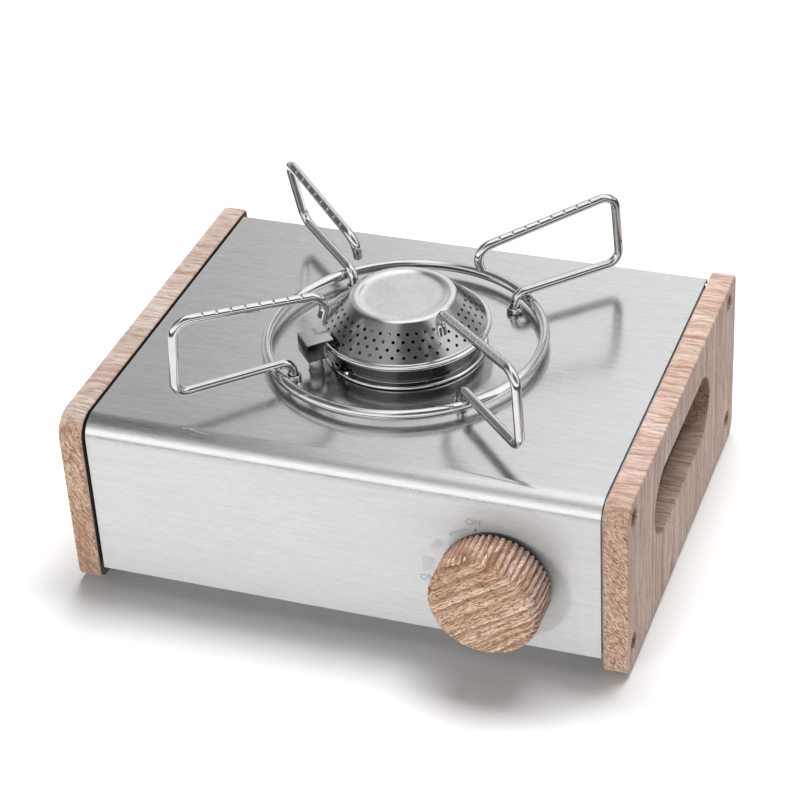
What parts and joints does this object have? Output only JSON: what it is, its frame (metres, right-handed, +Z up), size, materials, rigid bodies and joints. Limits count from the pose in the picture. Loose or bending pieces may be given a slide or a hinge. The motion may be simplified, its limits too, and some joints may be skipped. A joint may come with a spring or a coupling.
{
  "type": "camping stove",
  "caption": "Single-burner gas camping stove: steel case, wooden side panels with grip slots, perforated burner, lift-off wire trivet and a wooden control knob.",
  "frame": {"origin": "middle of the footprint of the whole stove, knob included, on the ground", "axes": "+X along the case to the user's right, +Y to the back, away from the knob, +Z up"},
  "size_m": [0.2352, 0.1952, 0.1241],
  "materials": {
    "wood": "oiled open-grain hardwood",
    "dark_screw": "browned steel",
    "rubber": "matte",
    "polished_steel": "polished stainless steel",
    "brushed_steel": "fine horizontal brushing",
    "ceramic": "glazed white",
    "black_plastic": "matte",
    "brass": "turned",
    "copper": "drawn copper tube",
    "casting": "die cast",
    "ferrite": "sintered magnet, dull",
    "pressed_steel": "plain rolled sheet",
    "zinc_steel": "zinc plated"
  },
  "bodies": {
    "case": {"case_shell": "brushed_steel", "base_plate": "brushed_steel", "heat_shield": "pressed_steel", "end_plate_left": "brushed_steel", "end_plate_right": "brushed_steel", "side_panel_left": "wood", "side_panel_right": "wood", "panel_screw_left_1": "dark_screw", "panel_screw_left_2": "dark_screw", "panel_screw_left_3": "dark_screw", "panel_screw_left_4": "dark_screw", "panel_screw_right_1": "dark_screw", "panel_screw_right_2": "dark_screw", "panel_screw_right_3": "dark_screw", "panel_screw_right_4": "dark_screw", "foot_pad_left_front": "rubber", "foot_pad_left_rear": "rubber", "foot_pad_right_front": "rubber", "foot_pad_right_rear": "rubber", "burner_cap": "polished_steel", "burner_body": "polished_steel", "burner_rivet_1": "polished_steel", "burner_rivet_2": "polished_steel", "leg_socket_1": "polished_steel", "leg_socket_2": "polished_steel", "leg_socket_3": "polished_steel", "leg_socket_4": "polished_steel", "spark_hood": "polished_steel", "igniter_ceramic": "ceramic", "igniter_electrode": "zinc_steel", "valve_body": "casting", "valve_bracket": "zinc_steel", "valve_screw_1": "zinc_steel", "valve_screw_2": "zinc_steel", "piezo_unit": "black_plastic", "gas_jet": "brass", "mixing_tube": "casting", "regulator": "casting", "canister_magnet": "ferrite", "feed_pipe": "copper", "spark_lead": "rubber", "door_hinge_left": "zinc_steel", "door_hinge_right": "zinc_steel", "hinge_pin_left": "zinc_steel", "hinge_pin_right": "zinc_steel", "door_magnet": "ferrite"},
    "knob": {"knob": "wood", "knob_insert": "black_plastic", "valve_spindle": "brass", "ignition_cam": "black_plastic"},
    "piezo_plunger": {"piezo_plunger": "brass"},
    "trivet": {"trivet_ring": "polished_steel", "pan_support_1": "polished_steel", "pan_support_2": "polished_steel", "pan_support_3": "polished_steel", "pan_support_4": "polished_steel"},
    "rear_door": {"rear_door": "brushed_steel"}
  },
  "joints": [
    {"name": "knob_turn", "type": "hinge", "parent": "case", "child": "knob", "pos_m": [0.0651, -0.0875, 0.0387], "axis": [0, -1, 0], "range_deg": [0, 85]},
    {"name": "piezo_push", "type": "slide", "parent": "case", "child": "piezo_plunger", "axis": [0, 1, 0], "range_m": [0, 0.0024]},
    {"name": "trivet_lift", "type": "slide", "parent": "case", "child": "trivet", "axis": [0, 0, 1], "range_m": [0, 0.06]},
    {"name": "door_swing", "type": "hinge", "parent": "case", "child": "rear_door", "pos_m": [0, 0.08995, 0.0052], "axis": [-1, 0, 0], "range_deg": [0, 90]}
  ],
  "couplings": [
    {"joint": "piezo_push", "follows": "knob_turn", "m_per_rad": 0.001617}
  ]
}
